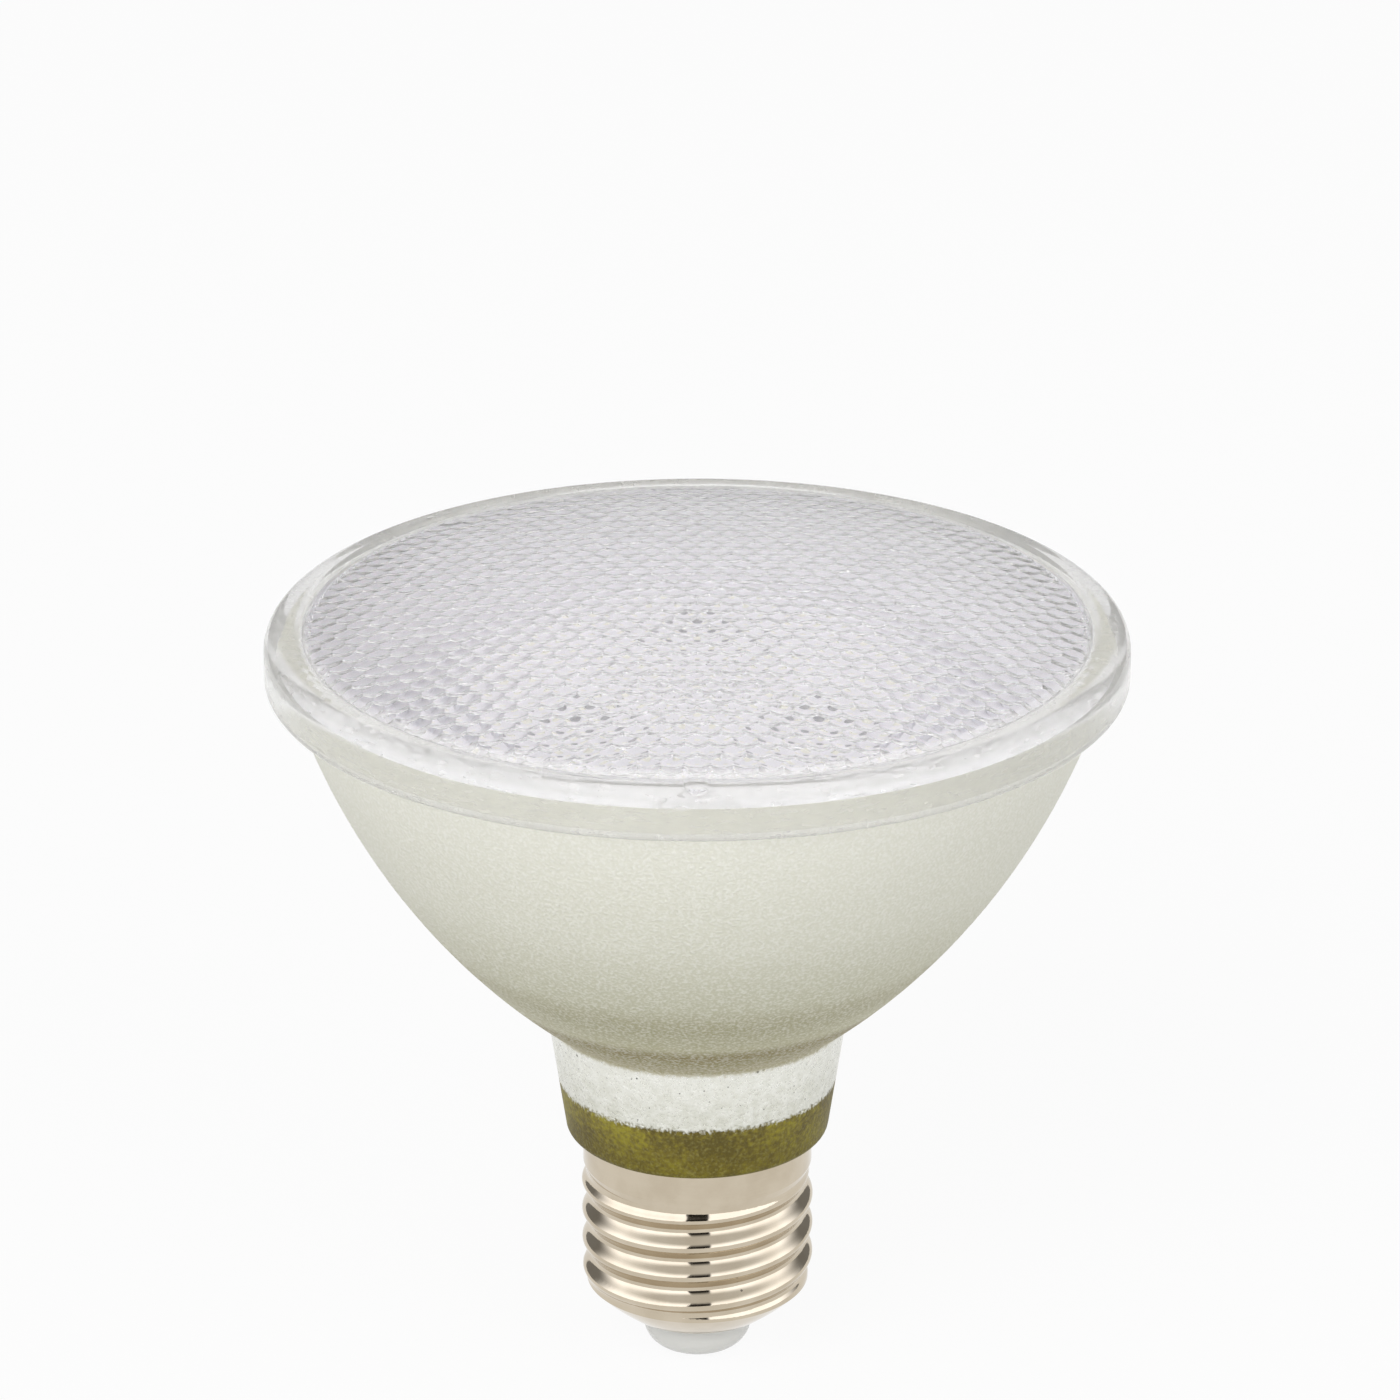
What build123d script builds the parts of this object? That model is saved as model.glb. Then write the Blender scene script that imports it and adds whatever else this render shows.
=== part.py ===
from build123d import *
import math
import os

# PAR30 short-neck reflector lamp with an Edison screw cap, lens up and cap down.
# Millimetres. Z is the lamp's axis, and z = 0 is the face of the centre contact.

# Edison screw cap
contact_radius = 3.0
contact_thickness = 0.4
contact_proud = 0.15
contact_edge_round = 0.25
rivet_radius = 1.5
rivet_head_radius = 2.4
rivet_head_height = 0.6
nose_radius = 6.1
nose_height = 5.15
nose_lip = 0.15
nose_bowl_height = 3.0
nose_shoulder = 0.7
nose_floor = 2.2
nose_wall = 2.2
nose_flange_height = 1.0
nose_cavity_radius = 3.8
nose_clearance = 0.15
sheet = 0.3
shell_foot_radius = 8.8
shell_cone_height = 3.3
shell_cone_bulge = 0.1
thread_crest_radius = 13.1
thread_depth = 1.0
thread_pitch = 3.629
thread_length = 14.0
thread_start_angle = 55.0
thread_runout_turns = 0.5
thread_sections_per_turn = 12
collar_radius = 12.95
collar_visible = 4.8
collar_insert = 8.0
collar_lead = 0.9

# Glass reflector body
neck_bottom_radius = 14.7
neck_top_radius = 16.9
neck_length = 14.5
neck_wall = 1.5
neck_edge_round = 1.0
neck_top_round = 1.8
shoulder_ledge = 1.3
shoulder_height = 0.6
shoulder_round = 0.8
bowl_height = 39.9
bowl_bulge = 3.6
bowl_wall = 2.0
glass_rim_height = 2.7
glass_rim_round = 0.4
cement_inset = 0.6

# Front lens
rim_radius = 47.6
rim_height = 5.85
rim_width = 4.9
rim_edge_round = 2.3
skirt_wall = 2.2
seal_thickness = 0.5
seal_depth = 2.2
groove_width = 1.6
groove_depth = 0.7
dome_edge_height = 6.15
dome_rise = 3.85
lens_wall = 2.1
lenslet_pitch = 2.54
lenslet_depth = 0.4
lenslet_border = 0.4
pattern_inset = 0.3

# Light source
led_board_radius = 25.0
led_board_thickness = 1.6
led_board_height = 71.2
wire_hole_radius = 4.2
spreader_thickness = 1.2
spreader_margin = 2.0
spreader_drop = 10.0
spreader_bend = 1.2
spreader_clearance = 0.2
chip_length = 3.5
chip_width = 2.8
chip_height = 0.7
chip_bevel = 0.2
inner_chip_ring = 9.5
inner_chip_count = 6
outer_chip_ring = 19.5
outer_chip_count = 14
screw_ring = 14.4
screw_count = 3
screw_radius = 1.2
screw_grip = 4.0
screw_head_radius = 2.2
screw_head_height = 1.5
screw_clearance = 0.1

# Driver
housing_clearance = 0.3
housing_wall = 0.9
housing_ledge = 1.0
housing_ledge_opening = 6.0
housing_flange_margin = 3.1
housing_flange_height = 5.0
guide_rib_depth = 1.2
guide_rib_width = 1.0
guide_clearance = 0.15
board_thickness = 1.0
board_edge_gap = 0.3
board_length = 47.0
pin_radius = 0.3
capacitor_radius = 4.0
capacitor_length = 14.0
capacitor_round = 0.7
capacitor_above_board_foot = 30.0
capacitor_lead_spread = 3.5
film_width = 10.5
film_depth = 5.0
film_height = 8.0
film_round = 0.8
film_above_board_foot = 7.0
core_width = 11.0
core_depth = 5.0
core_height = 10.0
core_leg = 3.4
core_window = 2.4
core_yoke = 1.8
winding_gap = 0.15
winding_depth = 8.0
choke_above_board_foot = 17.0
bridge_width = 4.7
bridge_depth = 2.4
bridge_height = 3.9
bridge_above_board_foot = 17.0
driver_chip_width = 4.9
driver_chip_depth = 1.5
driver_chip_height = 3.9
driver_chip_above_board_foot = 30.0
leg_width = 0.4
leg_reach = 0.9
leg_thickness = 0.25
resistor_radius = 1.3
resistor_length = 6.5
resistor_above_board_foot = 4.6
resistor_lead_reach = 1.4
varistor_radius = 3.6
varistor_thickness = 3.2
varistor_above_board_foot = 9.0
varistor_lift = 1.2
wire_radius = 0.6
wire_gap = 0.1

# Heights that follow from the stack, from the contact up
nose_z = contact_proud
foot_z = nose_z + nose_height
thread_z = foot_z + shell_cone_height
collar_z = thread_z + thread_length
neck_z = collar_z + collar_visible
ledge_z = neck_z + neck_length
bowl_z = ledge_z + shoulder_height
rim_z = bowl_z + bowl_height
glass_top_z = rim_z + glass_rim_height
seat_z = glass_top_z + seal_thickness
dome_edge_z = rim_z + dome_edge_height
dome_top_z = dome_edge_z + dome_rise
pattern_z = dome_edge_z - lens_wall

nose_floor_z = contact_thickness + nose_floor

# Radii that follow from the fits
contact_recess = contact_radius + nose_clearance
skirt_radius = rim_radius - skirt_wall
glass_rim_radius = skirt_radius - seal_thickness
glass_mouth_radius = glass_rim_radius - bowl_wall
bowl_foot_radius = neck_top_radius + shoulder_ledge
dome_edge_radius = rim_radius - rim_width
pattern_radius = dome_edge_radius - pattern_inset
thread_mean_radius = thread_crest_radius - thread_depth / 2
housing_radius = thread_crest_radius - thread_depth - sheet - housing_clearance
housing_bore = housing_radius - housing_wall
nose_flange_z = thread_z + nose_flange_height
board_foot_z = nose_flange_z + housing_ledge
board_half_width = housing_bore - board_edge_gap
board_face = board_thickness / 2
housing_top_z = led_board_height - led_board_thickness - spreader_thickness


def turned(profile):
    """Solid of revolution about Z from a closed profile drawn as (radius, height)."""
    return revolve(Plane.XZ * profile, Axis.Z)


def corner(profile, radius, height):
    """The vertex of a profile that lies at this radius and height."""
    return profile.vertices().sort_by_distance((radius, height, 0))[0]


def along_line(z, z_low, low, z_high, high):
    """Radius at height z on the straight wall between two heights."""
    return low + (high - low) * (z - z_low) / (z_high - z_low)


def neck_bore(z):
    """Inner radius of the glass neck at height z."""
    low = neck_bottom_radius - neck_wall
    high = neck_top_radius - neck_wall
    return along_line(z, neck_z, low, ledge_z, high)


def bowl_arc(foot, mouth):
    """Arc of the bowl's wall from its foot to its mouth, bulging outwards and down."""
    return SagittaArc(foot, mouth, -bowl_bulge)


def bowl_inner_foot():
    """Point where the inner wall of the bowl runs into the bore of the neck."""
    return (neck_bore(bowl_z), bowl_z)


def bowl_inner_radius(z):
    """Inner radius of the bowl at height z, found on its arc by halving."""
    arc = bowl_arc(bowl_inner_foot(), (glass_mouth_radius, rim_z))
    low = 0.0
    high = 1.0
    for _ in range(40):
        middle = (low + high) / 2
        if (arc @ middle).Y < z:
            low = middle
        else:
            high = middle
    return (arc @ low).X


# Cap

def make_centre_contact():
    """Pressed contact disc with the rivet that holds it to the nose."""
    rivet_top_z = nose_floor_z + rivet_head_height
    profile = make_face(
        Polyline(
            (0, 0),
            (contact_radius, 0),
            (contact_radius, contact_thickness),
            (rivet_radius, contact_thickness),
            (rivet_radius, nose_floor_z),
            (rivet_head_radius, nose_floor_z),
            (rivet_head_radius, rivet_top_z),
            (0, rivet_top_z),
            close=True,
        )
    )
    profile = fillet(corner(profile, contact_radius, 0), contact_edge_round)
    return turned(profile)


def make_cap_insulator():
    """White cup: a rounded nose outside the shell and a flange that sits in the shell's foot."""
    flange_low = shell_foot_radius - sheet - nose_clearance
    flange_high = housing_radius
    cavity = flange_high - nose_wall
    bowl_foot = (contact_recess + nose_lip, nose_z)
    bowl_top = (nose_radius, nose_z + nose_bowl_height)
    profile = make_face(
        Polyline(
            (rivet_radius, nose_floor_z),
            (rivet_radius, contact_thickness),
            (contact_recess, contact_thickness),
            (contact_recess, nose_z),
            bowl_foot,
        )
        + TangentArc(bowl_foot, bowl_top, tangent=(1, 0))
        + Polyline(
            bowl_top,
            (nose_radius, foot_z - nose_shoulder),
            (shell_foot_radius, foot_z),
            (flange_low, foot_z),
            (flange_high, thread_z),
            (flange_high, nose_flange_z),
            (cavity, nose_flange_z),
            (cavity, thread_z),
            (nose_cavity_radius, nose_floor_z),
            (rivet_radius, nose_floor_z),
        )
    )
    return turned(profile)


def thread_wall(inset, extra):
    """Solid bounded by the rolled thread, inset by the sheet where it is the inner wall.

    A rolled thread is close to a pile of circles whose centre walks round the axis, one
    turn for each pitch. The walk starts and ends on the axis, which makes the run-out.
    """
    turns = thread_length / thread_pitch
    steps = math.ceil(turns * thread_sections_per_turn)
    radius = thread_mean_radius - inset
    sections = []
    for step in range(steps + 1):
        turn = turns * step / steps
        ramp = min(1.0, turn / thread_runout_turns, (turns - turn) / thread_runout_turns)
        swing = thread_depth / 2 * math.sin(ramp * math.pi / 2) ** 2
        angle = math.radians(thread_start_angle + 360 * turn)
        centre = (swing * math.cos(angle), swing * math.sin(angle), thread_z + turn * thread_pitch)
        sections.append(Wire.make_circle(radius, Plane(centre)))
    wall = Solid.make_loft(sections)
    if extra:
        for z in (thread_z - extra, collar_z):
            wall += Pos(0, 0, z) * Cylinder(radius, extra, align=(Align.CENTER, Align.CENTER, Align.MIN))
    return wall


def make_screw_shell():
    """Rolled shell: rounded-in foot, right-hand thread and plain collar in one sheet."""
    top_z = neck_z + collar_insert
    thread = thread_wall(0, 0) - thread_wall(sheet, sheet)
    foot_profile = make_face(
        SagittaArc((shell_foot_radius, foot_z), (thread_mean_radius, thread_z), -shell_cone_bulge)
        + Line((thread_mean_radius, thread_z), (thread_mean_radius - sheet, thread_z))
        + SagittaArc(
            (thread_mean_radius - sheet, thread_z), (shell_foot_radius - sheet, foot_z), shell_cone_bulge
        )
        + Line((shell_foot_radius - sheet, foot_z), (shell_foot_radius, foot_z))
    )
    collar_profile = make_face(
        Polyline(
            (thread_mean_radius - sheet, collar_z),
            (thread_mean_radius, collar_z),
            (collar_radius, collar_z + collar_lead),
            (collar_radius, top_z),
            (collar_radius - sheet, top_z),
            (collar_radius - sheet, collar_z + collar_lead),
            close=True,
        )
    )
    return turned(foot_profile) + thread + turned(collar_profile)


def make_cap_cement():
    """Resin ring between the collar of the cap and the bore of the neck."""
    low = neck_z + cement_inset
    high = neck_z + collar_insert
    profile = make_face(
        Polyline(
            (collar_radius, low),
            (neck_bore(low), low),
            (neck_bore(high), high),
            (collar_radius, high),
            close=True,
        )
    )
    return turned(profile)


# Glass and lens

def make_reflector_body():
    """Pressed glass: tapered neck, shoulder, bowl and a plain upright rim, one wall."""
    foot = (bowl_foot_radius, bowl_z)
    mouth = (glass_rim_radius, rim_z)
    inner_foot = bowl_inner_foot()
    inner_mouth = (glass_mouth_radius, rim_z)
    profile = make_face(
        Polyline(
            (neck_bore(neck_z), neck_z),
            (neck_bottom_radius, neck_z),
            (neck_top_radius, ledge_z),
            foot,
        )
        + bowl_arc(foot, mouth)
        + Polyline(
            mouth,
            (glass_rim_radius, glass_top_z),
            (glass_mouth_radius, glass_top_z),
            inner_mouth,
        )
        + bowl_arc(inner_foot, inner_mouth)
        + Line(inner_foot, (neck_bore(neck_z), neck_z))
    )
    profile = fillet(corner(profile, neck_bottom_radius, neck_z), neck_edge_round)
    profile = fillet(corner(profile, neck_top_radius, ledge_z), neck_top_round)
    profile = fillet(corner(profile, *foot), shoulder_round)
    profile = fillet(corner(profile, glass_rim_radius, glass_top_z), glass_rim_round)
    return turned(profile)


def make_lens_seal():
    """Silicone bead on the glass rim, running down between the rim and the lens skirt."""
    bead_low = glass_top_z - seal_depth
    profile = make_face(
        Polyline(
            (glass_mouth_radius, glass_top_z),
            (glass_rim_radius, glass_top_z),
            (glass_rim_radius, bead_low),
            (skirt_radius, bead_low),
            (skirt_radius, seat_z),
            (glass_mouth_radius, seat_z),
            close=True,
        )
    )
    return turned(profile)


def ball_radius(edge_radius):
    """Radius of the ball whose cap has this edge radius and the rise of the dome."""
    return (edge_radius**2 + dome_rise**2) / (2 * dome_rise)


def dome_height(radius):
    """Height of the domed inner face of the lens at this distance from the axis."""
    ball = ball_radius(pattern_radius)
    return pattern_z + math.sqrt(ball**2 - radius**2) - math.sqrt(ball**2 - pattern_radius**2)


def lens_blank():
    """Lens without lenslets: dome, groove, rounded rim and skirt, with a flat inner face."""
    rim_top_z = rim_z + rim_height
    groove_foot = (dome_edge_radius + groove_width / 2, dome_edge_z - groove_depth)
    rim_edge = (rim_radius, rim_top_z)
    profile = make_face(
        Line((0, pattern_z), (0, dome_top_z))
        + RadiusArc((0, dome_top_z), (dome_edge_radius, dome_edge_z), ball_radius(dome_edge_radius))
        + Polyline(
            (dome_edge_radius, dome_edge_z),
            groove_foot,
            (dome_edge_radius + groove_width, rim_top_z),
            rim_edge,
            (rim_radius, rim_z),
            (skirt_radius, rim_z),
            (skirt_radius, seat_z),
            (pattern_radius, seat_z),
            (pattern_radius, pattern_z),
            (0, pattern_z),
        )
    )
    profile = fillet(corner(profile, *rim_edge), rim_edge_round)
    return turned(profile)


def lenslet_cells():
    """Centres of the hexagonal cells that lie wholly inside the border, row by row."""
    reach = pattern_radius - lenslet_border - lenslet_pitch / math.sqrt(3)
    row_step = lenslet_pitch * math.sqrt(3) / 2
    rows = int(reach / row_step)
    columns = int(reach / lenslet_pitch) + 1
    cells = []
    for row in range(-rows, rows + 1):
        shift = (row % 2) / 2
        for column in range(-columns, columns + 1):
            centre = ((column + shift) * lenslet_pitch, row * row_step)
            if math.hypot(*centre) <= reach:
                cells.append(centre)
    return cells


def cell_corners(centre):
    """Six corners of a cell, anticlockwise, rounded so that neighbours share them."""
    size = lenslet_pitch / math.sqrt(3)
    corners = []
    for side in range(6):
        angle = math.radians(30 + 60 * side)
        x = centre[0] + size * math.cos(angle)
        y = centre[1] + size * math.sin(angle)
        corners.append((round(x, 6), round(y, 6)))
    return corners


def cell_outline(edges):
    """Outline of the whole honeycomb: the edges that only one cell has, end to end."""
    following = {}
    for start, end in edges:
        if (end, start) not in edges:
            following[start] = end
    first = next(iter(following))
    outline = [first]
    while following[outline[-1]] != first:
        outline.append(following[outline[-1]])
    return outline


def make_front_lens():
    """Clear lens: the blank with its flat inner face replaced by the honeycomb."""
    blank = lens_blank()
    flat = blank.faces().filter_by(Plane.XY).sort_by_distance((0, 0, pattern_z))[0]
    walls = [face for face in blank.faces() if not face.is_same(flat)]
    cells = lenslet_cells()
    edges = set()
    for centre in cells:
        corners = cell_corners(centre)
        for start, end in zip(corners, corners[1:] + corners[:1]):
            edges.add((start, end))
    outline = cell_outline(edges)
    on_outline = set(outline)
    place = {}
    for start, _ in edges:
        height = pattern_z if start in on_outline else dome_height(math.hypot(*start))
        place[start] = (start[0], start[1], height)
    border = Wire.make_polygon([place[point] for point in outline])
    facets = [Face(flat.outer_wire(), [border])]
    for centre in cells:
        corners = cell_corners(centre)
        tip = (centre[0], centre[1], dome_height(math.hypot(*centre)) - lenslet_depth)
        for start, end in zip(corners, corners[1:] + corners[:1]):
            facets.append(Face(Wire.make_polygon([place[start], place[end], tip])))
    return Solid(Shell(walls + facets))


# Light source

def on_ring(ring, count, turn=0.0):
    """Places spread evenly on a ring, each turned to face outwards."""
    return [Rot(0, 0, turn + 360 * index / count) * Pos(ring, 0, 0) for index in range(count)]


def screw_places():
    """Places of the board screws."""
    return on_ring(screw_ring, screw_count, 90)


def upright(radius, low, high):
    """Cylinder on the lamp's axis between two heights."""
    return Pos(0, 0, low) * Cylinder(radius, high - low, align=(Align.CENTER, Align.CENTER, Align.MIN))


def screw_holes(radius, low, high):
    """The holes that the board screws need between two heights."""
    return [place * upright(radius, low, high) for place in screw_places()]


def make_led_board():
    """Round metal-core board with its wire hole and screw holes."""
    low = led_board_height - led_board_thickness
    board = upright(led_board_radius, low, led_board_height)
    board -= upright(wire_hole_radius, low, led_board_height)
    return board - screw_holes(screw_radius + screw_clearance, low, led_board_height)


def make_led_chips():
    """Surface-mount emitters on two rings, each a bevelled block."""
    size = (chip_length, chip_width, chip_height)
    block = Box(*size, align=(Align.CENTER, Align.CENTER, Align.MIN))
    block = chamfer(block.faces().sort_by(Axis.Z)[-1].edges(), chip_bevel)
    places = on_ring(inner_chip_ring, inner_chip_count, 30)
    places += on_ring(outer_chip_ring, outer_chip_count)
    return Compound([Pos(0, 0, led_board_height) * place * block for place in places])


def make_heat_spreader():
    """Stamped aluminium hat: flat crown under the board, skirt down to the glass."""
    top = led_board_height - led_board_thickness
    crown = led_board_radius + spreader_margin
    hem_z = top - spreader_drop
    hem = bowl_inner_radius(hem_z) - spreader_clearance
    profile = make_face(
        Polyline(
            (wire_hole_radius, top),
            (crown, top),
            (hem, hem_z),
            (hem - spreader_thickness, hem_z),
            (crown - spreader_thickness, top - spreader_thickness),
            (wire_hole_radius, top - spreader_thickness),
            close=True,
        )
    )
    profile = fillet(corner(profile, crown, top), spreader_bend + spreader_thickness)
    profile = fillet(corner(profile, crown - spreader_thickness, top - spreader_thickness), spreader_bend)
    return turned(profile) - screw_holes(screw_radius + screw_clearance, top - spreader_thickness, top)


def make_board_screws():
    """Pan-head screws through board and spreader into the housing's flange."""
    tip = housing_top_z - screw_grip
    head = upright(screw_head_radius, led_board_height, led_board_height + screw_head_height)
    head = fillet(head.faces().sort_by(Axis.Z)[-1].edges(), screw_head_height / 2)
    screw = head + upright(screw_radius, tip, led_board_height)
    return Compound([place * screw for place in screw_places()])


# Driver

def make_driver_housing():
    """Insulating sleeve with a foot ledge, guide ribs for the board and a screw flange."""
    flange = screw_ring + housing_flange_margin
    flange_z = housing_top_z - housing_flange_height
    profile = make_face(
        Polyline(
            (housing_ledge_opening, nose_flange_z),
            (housing_radius, nose_flange_z),
            (housing_radius, flange_z),
            (flange, flange_z),
            (flange, housing_top_z),
            (housing_bore, housing_top_z),
            (housing_bore, board_foot_z),
            (housing_ledge_opening, board_foot_z),
            close=True,
        )
    )
    profile = fillet(corner(profile, housing_radius, flange_z), housing_wall)
    housing = turned(profile)
    housing -= screw_holes(screw_radius + screw_clearance, housing_top_z - screw_grip, housing_top_z)
    rib_inner = board_half_width - guide_rib_depth
    rib_outer = housing_radius - housing_wall / 2
    rib_y = board_face + guide_clearance
    rib = Pos(rib_inner, rib_y, board_foot_z) * Box(
        rib_outer - rib_inner, guide_rib_width, board_length, align=Align.MIN
    )
    rib &= upright(rib_outer, board_foot_z, housing_top_z)
    ribs = [rib, mirror(rib, Plane.YZ), mirror(rib, Plane.XZ), mirror(mirror(rib, Plane.YZ), Plane.XZ)]
    notch = Pos(neutral_x(), 0, nose_flange_z) * Box(
        3 * wire_radius, housing_radius, neutral_z() - nose_flange_z + 2 * wire_radius,
        align=(Align.CENTER, Align.MAX, Align.MIN),
    )
    notch -= upright(housing_ledge_opening, nose_flange_z, board_foot_z)
    return housing + ribs - notch


def make_driver_board():
    """Upright circuit board between the guide ribs."""
    size = (2 * board_half_width, board_thickness, board_length)
    return Pos(0, 0, board_foot_z) * Box(*size, align=(Align.CENTER, Align.CENTER, Align.MIN))


def lead(*points):
    """Round component lead along straight runs with rounded corners."""
    path = FilletPolyline(*points, radius=2 * pin_radius)
    return sweep(Plane(path @ 0, z_dir=path % 0) * Circle(pin_radius), path)


def make_bulk_capacitor():
    """Electrolytic can lying on the board, with its two leads bent to the board."""
    low = board_foot_z + capacitor_above_board_foot
    axis_y = board_face + wire_gap + capacitor_radius
    can = Pos(0, axis_y, low) * Cylinder(
        capacitor_radius, capacitor_length, align=(Align.CENTER, Align.CENTER, Align.MIN)
    )
    can = fillet(can.edges().filter_by(GeomType.CIRCLE), capacitor_round)
    for x in (-capacitor_lead_spread / 2, capacitor_lead_spread / 2):
        bend_z = low - 4 * pin_radius
        can += lead((x, axis_y, low), (x, axis_y, bend_z), (x, board_face, bend_z))
    return can


def on_front(width, depth, height, above_foot):
    """Block against the front face of the board, at a height above the board's foot."""
    place = Pos(0, board_face, board_foot_z + above_foot)
    return place * Box(width, depth, height, align=(Align.CENTER, Align.MIN, Align.MIN))


def make_film_capacitor():
    """Boxed film capacitor across the mains."""
    block = on_front(film_width, film_depth, film_height, film_above_board_foot)
    return fillet(block.edges().filter_by(Axis.Y), film_round)


def choke_centre():
    """Centre of the choke, with its winding against the board."""
    z = board_foot_z + choke_above_board_foot + core_height / 2
    return Pos(0, board_face + winding_depth / 2, z)


def make_choke_core():
    """Ferrite core: two yokes, two outer legs and a middle leg."""
    core = Box(core_width, core_depth, core_height)
    offset = (core_leg + core_window) / 2
    for x in (-offset, offset):
        core -= Pos(x, 0, 0) * Box(core_window, core_depth, core_height - 2 * core_yoke)
    return choke_centre() * core


def make_choke_winding():
    """Taped winding round the middle leg of the core."""
    height = core_height - 2 * core_yoke - 2 * winding_gap
    width = core_leg + 2 * core_window - 2 * winding_gap
    coil = Box(width, winding_depth, height)
    coil = fillet(coil.edges().filter_by(Axis.Z), core_window / 2)
    coil -= Box(core_leg + 2 * winding_gap, core_depth + 2 * winding_gap, height)
    return choke_centre() * coil


def on_back(width, depth, height, above_foot, legs_each_side):
    """Moulded chip on the back of the board with flat legs on its two sides."""
    middle = Pos(0, -board_face, board_foot_z + above_foot + height / 2)
    body = Pos(0, -leg_thickness / 2, 0) * Box(
        width, depth, height, align=(Align.CENTER, Align.MAX, Align.CENTER)
    )
    body = chamfer(body.faces().sort_by(Axis.Y)[0].edges(), leg_thickness)
    pitch = height / legs_each_side
    for index in range(legs_each_side):
        z = (index + 0.5) * pitch - height / 2
        size = (width + 2 * leg_reach, leg_thickness, leg_width)
        body += Pos(0, 0, z) * Box(*size, align=(Align.CENTER, Align.MAX, Align.CENTER))
    return middle * body


def make_bridge_rectifier():
    """Four-legged bridge rectifier."""
    return on_back(bridge_width, bridge_depth, bridge_height, bridge_above_board_foot, 2)


def make_driver_chip():
    """Eight-legged control chip."""
    return on_back(driver_chip_width, driver_chip_depth, driver_chip_height, driver_chip_above_board_foot, 4)


def make_fuse_resistor():
    """Axial resistor that acts as the fuse, on two bent leads."""
    z = board_foot_z + resistor_above_board_foot
    y = board_face + wire_gap + resistor_radius
    half = resistor_length / 2
    body = Pos(0, y, z) * Rot(0, 90, 0) * Cylinder(resistor_radius, resistor_length)
    body = fillet(body.edges().filter_by(GeomType.CIRCLE), resistor_radius / 2)
    for side in (-1, 1):
        end = side * (half + resistor_lead_reach)
        body += lead((side * half, y, z), (end, y, z), (end, board_face, z))
    return body


def make_surge_varistor():
    """Disc varistor across the mains, on two short leads at the back of the board."""
    z = board_foot_z + varistor_above_board_foot
    near = -board_face - varistor_lift
    disc = Pos(0, near, z) * Rot(90, 0, 0) * Cylinder(
        varistor_radius, varistor_thickness, align=(Align.CENTER, Align.CENTER, Align.MIN)
    )
    disc = fillet(disc.edges().filter_by(GeomType.CIRCLE), varistor_thickness / 4)
    for side in (-1, 1):
        pin = Pos(side * varistor_radius / 2, -board_face, z) * Rot(90, 0, 0)
        disc += pin * Cylinder(pin_radius, varistor_lift, align=(Align.CENTER, Align.CENTER, Align.MIN))
    return disc


# Wires, each a chosen route of straight runs with rounded corners

def wire(points, bend):
    """Insulated wire along its route."""
    path = FilletPolyline(*points, radius=bend)
    return sweep(Plane(path @ 0, z_dir=path % 0) * Circle(wire_radius), path)


def wire_face():
    """Distance of a wire's middle from the middle of the board that it runs along."""
    return board_face + wire_gap + wire_radius


def neutral_x():
    """Side position of the neutral wire and of the notch that lets it out."""
    return housing_ledge_opening / 2 + wire_radius


def neutral_z():
    """Height at which the neutral wire leaves the housing for the shell."""
    return board_foot_z + 3 * wire_radius


def make_live_wire():
    """From the foot of the board, through the ledge, to the rivet of the contact."""
    x = -housing_ledge_opening / 2
    y = wire_face()
    end_z = nose_floor_z + rivet_head_height
    return wire(
        [
            (x, y, board_foot_z + 4 * wire_radius),
            (x, y, nose_flange_z - wire_radius),
            (0, 0, end_z + 3 * wire_radius),
            (0, 0, end_z),
        ],
        2 * wire_radius,
    )


def make_neutral_wire():
    """From the back of the board, out through the notch, to the inside of the shell."""
    x = neutral_x()
    reach = thread_crest_radius - thread_depth - sheet - wire_gap
    end_y = -math.sqrt(reach**2 - (x + wire_radius) ** 2)
    z = neutral_z()
    y = -wire_face()
    return wire([(x, y, z + 8 * wire_radius), (x, y, z), (x, end_y, z)], 2 * wire_radius)


def make_led_wire(side):
    """From the head of the driver board, through the wire hole, down to a board pad."""
    x = side * (wire_hole_radius - wire_face() - wire_gap)
    pad_x = side * (wire_hole_radius + 4 * wire_radius)
    y = -wire_face()
    top = led_board_height + 4 * wire_radius
    start = board_foot_z + board_length - 6 * wire_radius
    route = [(x, y, start), (x, y, top), (pad_x, y, top), (pad_x, y, led_board_height)]
    return wire(route, 1.5 * wire_radius)


nodes = {
    "centre_contact": make_centre_contact(),
    "cap_insulator": make_cap_insulator(),
    "screw_shell": make_screw_shell(),
    "cap_cement": make_cap_cement(),
    "reflector_body": make_reflector_body(),
    "lens_seal": make_lens_seal(),
    "front_lens": make_front_lens(),
    "led_board": make_led_board(),
    "led_chips": make_led_chips(),
    "heat_spreader": make_heat_spreader(),
    "board_screws": make_board_screws(),
    "driver_housing": make_driver_housing(),
    "driver_board": make_driver_board(),
    "bulk_capacitor": make_bulk_capacitor(),
    "film_capacitor": make_film_capacitor(),
    "choke_core": make_choke_core(),
    "choke_winding": make_choke_winding(),
    "bridge_rectifier": make_bridge_rectifier(),
    "driver_chip": make_driver_chip(),
    "fuse_resistor": make_fuse_resistor(),
    "surge_varistor": make_surge_varistor(),
    "live_wire": make_live_wire(),
    "neutral_wire": make_neutral_wire(),
    "led_wire_positive": make_led_wire(1),
    "led_wire_negative": make_led_wire(-1),
}

os.makedirs("parts", exist_ok=True)
for name, node in nodes.items():
    export_step(node, f"parts/{name}.step")
    print(name, round(node.volume, 2))
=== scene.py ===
# %% [markdown]
# # A reflector spotlight bulb, lens up
#
# The lamp comes in as a packed CAD frame: glass bowl, screw cap, lens and the parts inside, all in one
# frame, in metres, with the lamp's axis on Z. Here it gets a finer lens, a bead and a dab of sealant, and a
# finish for each surface. The CAD nodes stay where they are, and new pieces are built in their place.

# %% Load the lamp
import math

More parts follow.
